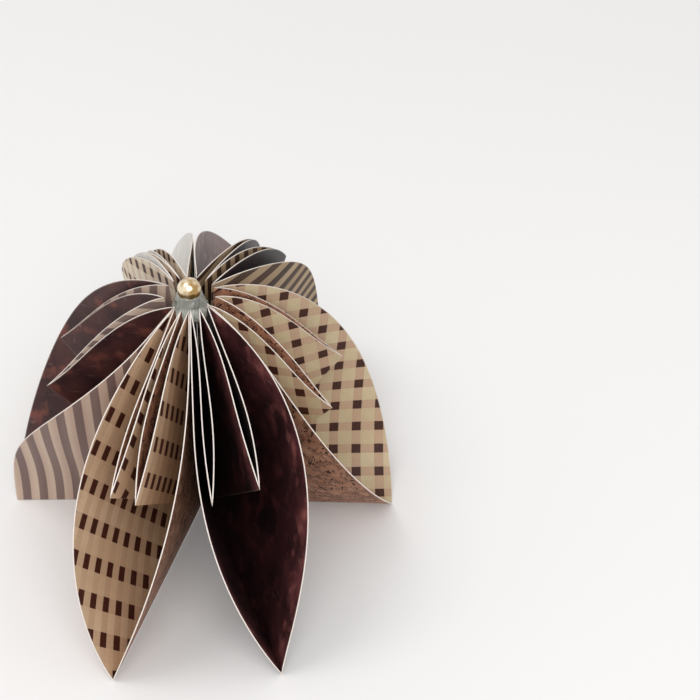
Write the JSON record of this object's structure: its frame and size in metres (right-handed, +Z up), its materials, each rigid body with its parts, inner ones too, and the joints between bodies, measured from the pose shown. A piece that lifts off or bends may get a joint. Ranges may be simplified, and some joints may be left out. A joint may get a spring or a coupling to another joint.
{
  "type": "origami flower",
  "caption": "Folded card flower of round patterned sheets, each a pointed open pocket with narrow inner loops, joined at the crown by clear glue under a pearl bead.",
  "frame": {"origin": "middle of the flower's bounding box, on the surface that its floor folds rest on", "axes": "+Z up through the crown, -Y towards the front petals, +X towards the plaid side petal"},
  "size_m": [0.1174, 0.1568, 0.0852],
  "materials": {
    "card_mottled": "matt printed card, mottled purple-brown with a striped back",
    "card_dashes": "matt printed card, beige with rows of brown dashes and a squiggled back",
    "card_dark": "matt printed card, dark purple-brown with a brown back",
    "card_plaid": "matt printed card, beige check with brown squares and a squiggled back",
    "card_pale": "matt printed card, pale inside and beige with brown dashes outside",
    "clear_glue": "clear hot glue, glossy and slightly cloudy",
    "pearl": "pearlescent coated bead, glossy"
  },
  "bodies": {
    "root": {"petal_left": "card_mottled", "petal_front_left": "card_dashes", "petal_front_right": "card_dark", "petal_right": "card_plaid", "petal_back_right": "card_mottled", "petal_back_left": "card_pale", "glue_dab": "clear_glue", "bead": "pearl"}
  },
  "joints": []
}
